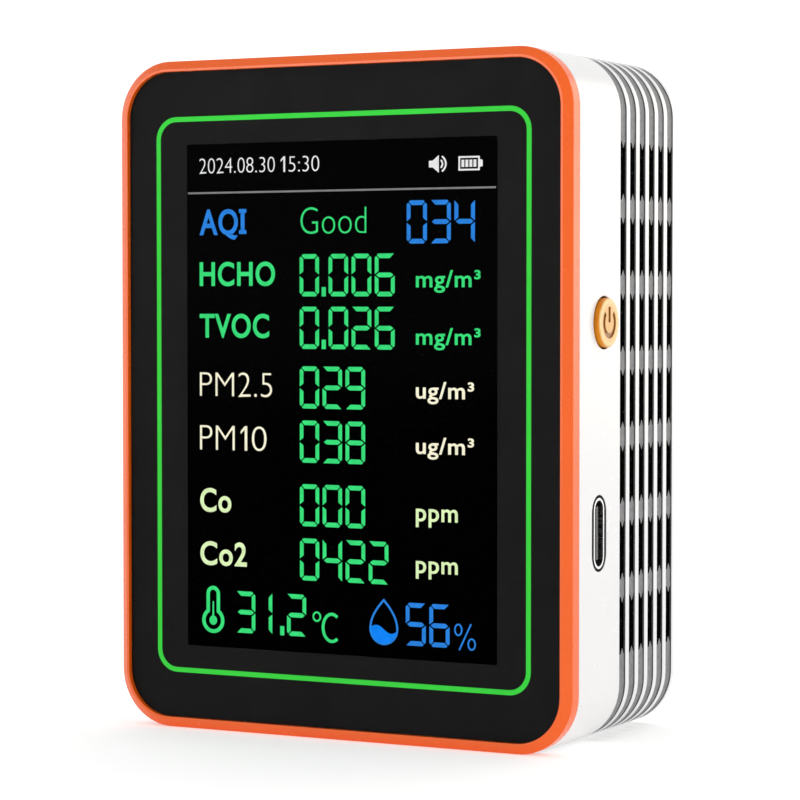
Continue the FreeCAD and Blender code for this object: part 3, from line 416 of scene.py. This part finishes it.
# Seven-bar digits: their size and spacing, the decimal point, and how far a narrow 1 moves left
DIGIT_WIDTH, DIGIT_HEIGHT, DIGIT_STEP = 2.85, 5.45, 3.37
POINT_STEP, POINT_GAP, POINT_WIDE, POINT_TALL = 0.9, 0.4, 0.6, 1.2
ONE_SHIFT = 0.8
BAR_WIDE, BAR_TALL, BAR_GAP, BAR_BEVEL = 0.53, 0.60, 0.11, 0.5
LIT_BARS = {"0": "abcdef", "1": "bc", "2": "abged", "3": "abgcd", "4": "fgbc", "5": "afgcd", "6": "afgedc",
            "8": "abcdefg", "9": "abcdfg"}


def bar_end(thick, bevelled):
    """One end of a lit bar, as (along, inward) steps from the digit's corner, outermost first."""
    inner = (thick + BAR_GAP, thick)
    if bevelled:
        half = (BAR_BEVEL - BAR_GAP) / 2
        return [(BAR_BEVEL, 0.0), (half + BAR_GAP, half), inner]
    return [(BAR_GAP, 0.0), inner]


def digit(number, left, base):
    """The outlines of a seven-bar digit."""
    lit_bars = LIT_BARS[number]
    right, top, middle = left + DIGIT_WIDTH, base + DIGIT_HEIGHT, base + DIGIT_HEIGHT / 2
    outlines = []
    for bar, z, sign, beside in (("a", top, -1, "fb"), ("d", base, 1, "ec")):
        if bar in lit_bars:
            start = [(left + u, z + sign * v) for u, v in bar_end(BAR_TALL, beside[0] in lit_bars)]
            end = [(right - u, z + sign * v) for u, v in bar_end(BAR_TALL, beside[1] in lit_bars)]
            outlines.append(start[::-1] + end)
    slant = BAR_WIDE * 0.75
    for bar, x, sign, z, turn, beside in (("f", left, 1, top, -1, "a"), ("b", right, -1, top, -1, "a"),
                                          ("e", left, 1, base, 1, "d"), ("c", right, -1, base, 1, "d")):
        if bar in lit_bars:
            start = [(x + sign * v, z + turn * u) for u, v in bar_end(BAR_WIDE, beside in lit_bars)]
            end = [(x, middle - turn * BAR_GAP), (x + sign * BAR_WIDE, middle - turn * (slant + BAR_GAP))]
            outlines.append(start[::-1] + end)
    if "g" in lit_bars:
        tip, half = 0.2, BAR_TALL / 2
        outlines.append([(left + tip, middle), (left + tip + slant, middle + half),
                         (right - tip - slant, middle + half), (right - tip, middle),
                         (right - tip - slant, middle - half), (left + tip + slant, middle - half)])
    return outlines


def number(name, text, left, base, material):
    """A row of seven-bar digits. A narrow 1 stands near the middle of its place."""
    outlines = []
    for sign in text:
        if sign == ".":
            dot = left - DIGIT_STEP + DIGIT_WIDTH + POINT_GAP
            outlines.append([(dot, base), (dot + POINT_WIDE, base), (dot + POINT_WIDE, base + POINT_TALL),
                             (dot, base + POINT_TALL)])
            left += POINT_STEP
            continue
        outlines += digit(sign, left - ONE_SHIFT if sign == "1" else left, base)
        left += DIGIT_STEP
    return flat_piece(name, outlines, material)


def label(name, text, left, low, width, height, material, weight=0.0, spacing=1.0):
    """Lettering fitted to a box whose lower left corner is left, low. weight thickens its strokes."""
    half_depth = 0.05
    curve = bpy.data.curves.new(name, "FONT")
    curve.body = text
    curve.offset = weight
    curve.space_character = spacing
    curve.extrude = half_depth
    curve.resolution_u = 6
    source = bpy.data.objects.new(name + "_source", curve)
    mesh = bpy.data.meshes.new_from_object(source)
    bpy.data.objects.remove(source)
    bpy.data.curves.remove(curve)
    xs = [vertex.co.x for vertex in mesh.vertices]
    ups = [vertex.co.y for vertex in mesh.vertices]
    across, up = width / (max(xs) - min(xs)), height / (max(ups) - min(ups))
    for vertex in mesh.vertices:
        x = (left + (vertex.co.x - min(xs)) * across) * MM
        z = (low + (vertex.co.y - min(ups)) * up) * MM
        depth = LAYER_THICK * (0.5 + vertex.co.z / (2 * half_depth))
        vertex.co = (x, glass_front - LAYER_FRONT + depth, z)
    build = bmesh.new()
    build.from_mesh(mesh)
    bmesh.ops.remove_doubles(build, verts=build.verts, dist=0.0005 * MM)
    bmesh.ops.recalc_face_normals(build, faces=build.faces)
    build.to_mesh(mesh)
    build.free()
    mesh.name = name
    return add_piece(name, mesh, material)


def speaker_icon(left, middle, material):
    """A loudspeaker with two sound waves."""
    box_half, horn_half, box_right, horn_right = 0.42, 1.1, left + 0.52, left + 1.38
    centre, line = left + 0.95, 0.22
    body = [(left, middle - box_half), (box_right, middle - box_half), (horn_right, middle - horn_half),
            (horn_right, middle + horn_half), (box_right, middle + box_half), (left, middle + box_half)]
    waves = stroke(arc(centre, middle, 0.95, 0.72, -42, 42, 10), line)
    waves += stroke(arc(centre, middle, 1.42, 1.2, -52, 52, 14), line)
    flat_piece("readout_speaker", [body] + waves, material)


def battery_icon(left, low, material):
    """A battery's outline with its end cap and four full cells."""
    wide, tall, edge = 2.96, 1.8, 0.22
    cell_wide, cell_half, cell_step = 0.38, 0.45, 0.56
    middle = low + tall / 2
    case = [(left + edge / 2, low + edge / 2), (left + wide - edge / 2, low + edge / 2),
            (left + wide - edge / 2, low + tall - edge / 2), (left + edge / 2, low + tall - edge / 2)]
    shapes = stroke(case, edge, closed=True)
    shapes.append([(left + wide, middle - 0.48), (left + wide + 0.4, middle - 0.4),
                   (left + wide + 0.4, middle + 0.4), (left + wide, middle + 0.48)])
    for i in range(4):
        x = left + 0.42 + i * cell_step
        shapes.append([(x, middle - cell_half), (x + cell_wide, middle - cell_half),
                       (x + cell_wide, middle + cell_half), (x, middle + cell_half)])
    flat_piece("readout_battery", shapes, material)


def thermometer_icon(middle, low, material):
    """A thermometer's outline with its filled bulb and column."""
    line, tall = 0.5, 6.24
    bulb, tube = 1.45, 0.78
    top = low + tall - line / 2 - tube
    centre = low + line / 2 + bulb
    join = math.degrees(math.acos(tube / bulb))
    outline = arc(middle, centre, bulb, bulb, 180 - join, 360 + join, 30)
    outline += arc(middle, top, tube, tube, 0, 180, 16)
    shapes = stroke(outline, line, closed=True)
    shapes.append(oval(middle, centre, 0.58, 0.62, 20))
    shapes.append([(middle - 0.13, centre + 0.5), (middle + 0.13, centre + 0.5),
                   (middle + 0.09, centre + 2.5), (middle - 0.09, centre + 2.5)])
    flat_piece("readout_thermometer", shapes, material)


def drop_icon(left, low, material, water_material):
    """A drop's outline, a third full of water with a wave on it."""
    radius, line = 1.95, 0.26
    middle, centre, tip = left + 2.06, low + line / 2 + radius, low + 5.75
    angle = math.degrees(math.asin(radius / (tip - centre)))
    outline = arc(middle, centre, radius, radius, 180 - angle * 0.4, 360 + angle * 0.4, 36)
    right, left_side = Vector(outline[-1]), Vector(outline[0])
    peak = Vector((middle, tip))
    lean, pull, steps = 0.16, 1.45, 12

    def flank(start, sign):
        """Points on the curve from the round part up to the tip."""
        control = start + Vector((-sign * lean, pull))
        return [tuple((1 - k) ** 2 * start + 2 * k * (1 - k) * control + k * k * peak)
                for k in (i / steps for i in range(1, steps))]

    outline += flank(right, 1) + [tuple(peak)] + flank(left_side, -1)[::-1]
    water = arc(middle, centre, radius, radius, 176, 352, 30)
    wave_from, wave_to = water[-1], water[0]
    wave_height, wave_steps = 0.42, 16
    for i in range(1, wave_steps):
        k = i / wave_steps
        x = wave_from[0] + (wave_to[0] - wave_from[0]) * k
        level = wave_from[1] + (wave_to[1] - wave_from[1]) * k
        water.append((x, level + wave_height * math.sin((k - 0.5) * 2 * math.pi)))
    flat_piece("readout_drop", stroke(outline, line, closed=True), material)
    flat_piece("readout_water", [water], water_material)


def degree_icon(left, low, material):
    """A degree sign and a round C."""
    shapes = stroke(oval(left + 0.68, low + 3.3, 0.52, 0.56, 24), 0.24, closed=True)
    shapes += stroke(arc(left + 2.9, low + 1.96, 1.3, 1.76, 52, 308, 28), 0.4)
    flat_piece("readout_degree", shapes, material)


def percent_icon(left, low, material):
    """A percent sign: two rings and a slanted bar."""
    line, ring_wide, ring_tall = 0.2, 0.48, 0.68
    shapes = stroke(oval(left + 0.62, low + 2.55, ring_wide, ring_tall, 22), line, closed=True)
    shapes += stroke(oval(left + 2.5, low + 0.8, ring_wide, ring_tall, 22), line, closed=True)
    flat_piece("readout_percent_rings", shapes, material)
    bar = stroke([(left + 0.75, low), (left + 2.4, low + 3.35)], line)
    flat_piece("readout_percent_bar", bar, material)


def one(name, left, low, height, line, material):
    """A figure 1 with a flag, drawn apart because the lettering's own is a bare stroke."""
    right, top = left + line * 2.6, low + height
    stem = [(right - line, low), (right, low), (right, top), (right - line, top)]
    flag = [(right - line, top), (left, top - line * 1.7), (left, top - line * 2.7),
            (right - line, top - line * 1.25)]
    flat_piece(name, [stem, flag], material)


# Columns of the display, how far labels stand above their row's base, their height, and their lettering:
# stroke weights and wider spacing
LABEL_X, VALUE_X, UNIT_X = -20.93, -5.80, 11.1
LABEL_RISE, LABEL_TALL = 1.33, 3.2
BOLD, THIN, UNIT_WEIGHT, WIDE = 0.020, -0.018, 0.014, 1.08

WHITE = lit("lit_white", (0.80, 0.80, 0.80))
GREY = lit("lit_grey", (0.22, 0.22, 0.22))
BLUE = lit("lit_blue", (0.024, 0.215, 0.70))
WATER = lit("lit_water", (0.006, 0.225, 0.90))
GREEN = lit("lit_green", (0.042, 0.70, 0.190))
CREAM = lit("lit_cream", (0.90, 0.86, 0.65))
LIME = lit("lit_lime", (0.70, 0.86, 0.47))


def row(name, base, value, text, width, colour, weight=BOLD):
    """One line of the display: what is measured, and its value."""
    label(name + "_label", text, LABEL_X, base + LABEL_RISE, width, LABEL_TALL, colour, weight,
          WIDE if weight == BOLD else 1.0)
    number(name + "_value", value, VALUE_X, base, GREEN)


def add_header():
    """Date and time, sound and battery symbols, and the line under them."""
    low, tall = 73.14, 2.0
    rule_low, rule_high = 70.5, 70.74
    label("readout_date", "2024.08.30", LABEL_X, low, 11.43, tall, WHITE, THIN)
    one("readout_hour", -8.6, low, tall, 0.25, WHITE)
    label("readout_minutes", "5:30", -7.42, low, 4.52, tall, WHITE, THIN)
    speaker_icon(12.95, 73.68, WHITE)
    battery_icon(17.1, 72.77, WHITE)
    flat_piece("readout_rule", [[(-22.7, rule_low), (22.3, rule_low), (22.3, rule_high),
                                 (-22.7, rule_high)]], GREY)


def add_readout():
    """Everything that the display shows."""
    add_header()
    fine_base, coarse_base = 42.6, 35.6
    label("readout_index_label", "AQ", LABEL_X, 64.45, 5.85, 4.03, BLUE, BOLD, WIDE)
    flat_piece("readout_index_letter",
               [[(-14.9, low), (-13.8, low), (-13.8, low + 0.5), (-14.9, low + 0.5)] for low in (65.2, 67.95)]
               + [[(-14.63, 65.7), (-14.07, 65.7), (-14.07, 67.95), (-14.63, 67.95)]], BLUE)
    label("readout_index_word", "Good", -5.66, 65.1, 9.63, 3.42, GREEN, THIN)
    number("readout_index", "034", 9.80, 63.72, BLUE)
    row("readout_formaldehyde", 57.06, "0.006", "HCHO", 11.45, GREEN)
    row("readout_vapour", 50.29, "0.026", "TVOC", 10.55, GREEN)
    row("readout_fine_dust", fine_base, "029", "PM2.5", 10.97, CREAM, THIN)
    row("readout_coarse_dust", coarse_base, "038", "PM", 5.3, CREAM, THIN)
    one("readout_coarse_dust_one", -14.7, coarse_base + LABEL_RISE, LABEL_TALL, 0.38, CREAM)
    label("readout_coarse_dust_nought", "0", -13.0, coarse_base + LABEL_RISE, 2.2, LABEL_TALL, CREAM, THIN)
    row("readout_monoxide", 27.37, "000", "Co", 4.77, LIME)
    row("readout_dioxide", 20.35, "0422", "Co2", 7.12, LIME)
    units = (("formaldehyde", "mg/m³", 57.5, 9.1, 2.85, GREEN),
             ("vapour", "mg/m³", 50.27, 9.1, 2.8, GREEN),
             ("fine_dust", "ug/m³", 43.46, 8.2, 2.83, CREAM),
             ("coarse_dust", "ug/m³", 36.47, 8.2, 2.8, CREAM),
             ("monoxide", "ppm", 27.85, 5.93, 2.38, LIME),
             ("dioxide", "ppm", 21.3, 5.93, 2.3, LIME))
    for name, text, low, width, tall, colour in units:
        label(f"readout_{name}_unit", text, UNIT_X, low, width, tall, colour, UNIT_WEIGHT, WIDE)
    thermometer_icon(-18.96, 12.76, GREEN)
    number("readout_temperature", "31.2", -15.39, 13.03, GREEN)
    degree_icon(-3.99, 12.43, GREEN)
    drop_icon(4.43, 12.6, BLUE, WATER)
    number("readout_humidity", "56", 9.66, 12.75, BLUE)
    percent_icon(16.5, 12.56, BLUE)


# Floor, light and camera

# The camera stands to the right and a little above, and looks at TARGET
AZIMUTH, DOWN = math.radians(27.77), math.radians(2.0)
DISTANCE, TARGET = 0.3824, Vector((0.00025, 0.0, 0.04328))
SENSOR_MM, LENS_MM = 36.0, 129.14


def add_stage():
    """A white floor that curves up into a backdrop behind the object, facing the camera."""
    nearest, bend, radius, top, half_width = -3.0, 1.0, 0.8, 3.5, 3.5
    profile = [(nearest, 0.0), (bend, 0.0)]
    profile += [(bend + radius * math.sin(a), radius - radius * math.cos(a))
                for a in (math.radians(i * 7.5) for i in range(1, 13))]
    profile.append((bend + radius, top))
    build = bmesh.new()
    rows = []
    for along, up in profile:
        line = []
        for across in (-half_width, half_width):
            x = across * math.cos(AZIMUTH) - along * math.sin(AZIMUTH)
            y = across * math.sin(AZIMUTH) + along * math.cos(AZIMUTH)
            line.append(build.verts.new((x, y, up)))
        rows.append(line)
    for first, second in zip(rows, rows[1:]):
        build.faces.new((first[0], first[1], second[1], second[0]))
    mesh = bpy.data.meshes.new("studio_floor")
    build.to_mesh(mesh)
    build.free()
    paper = moulded("studio_paper", (0.90, 0.90, 0.90), 0.9, 0.1, 3.0, specular=0.1, tint=0.005)
    shader = paper.node_tree.nodes["Principled BSDF"]
    shader.inputs["Emission Color"].default_value = (1.0, 1.0, 1.0, 1.0)
    shader.inputs["Emission Strength"].default_value = 0.3
    mesh.materials.append(paper)
    floor = bpy.data.objects.new("studio_floor", mesh)
    bpy.context.scene.collection.objects.link(floor)
    for face in mesh.polygons:
        face.use_smooth = True


def add_softbox(name, place, size, power, colour=(1.0, 1.0, 1.0)):
    """A square area light aimed at the object's middle."""
    data = bpy.data.lights.new(name, "AREA")
    data.color = colour
    data.size = size
    data.energy = power
    light = bpy.data.objects.new(name, data)
    light.location = place
    light.rotation_euler = (Vector(place) - TARGET).to_track_quat("Z", "Y").to_euler()
    bpy.context.scene.collection.objects.link(light)


def add_light():
    """Even white surroundings and three softboxes, the one behind a little warm."""
    world = bpy.data.worlds.new("studio")
    world.use_nodes = True
    background = world.node_tree.nodes["Background"]
    background.inputs["Color"].default_value = (1.0, 1.0, 1.0, 1.0)
    background.inputs["Strength"].default_value = 0.75
    bpy.context.scene.world = world
    add_softbox("softbox_right", (1.5, 0.0, 0.5), 0.9, 7.0)
    add_softbox("softbox_behind", (0.8, 1.4, 0.3), 0.9, 5.0, (1.0, 0.88, 0.70))
    add_softbox("softbox_front", (-0.8, -1.5, 0.25), 0.6, 5.5)
    bpy.context.scene.view_settings.view_transform = "Standard"


def add_camera():
    """The scene's camera, on the display's side."""
    data = bpy.data.cameras.new("camera")
    data.sensor_width = SENSOR_MM
    data.lens = LENS_MM
    camera = bpy.data.objects.new("camera", data)
    away = Vector((math.sin(AZIMUTH) * math.cos(DOWN), -math.cos(AZIMUTH) * math.cos(DOWN), math.sin(DOWN)))
    camera.location = TARGET + away * DISTANCE
    camera.rotation_euler = (math.pi / 2 - DOWN, 0.0, AZIMUTH)
    bpy.context.scene.collection.objects.link(camera)
    bpy.context.scene.camera = camera


dress_outside()
dress_inside()
add_readout()
add_stage()
add_light()
add_camera()
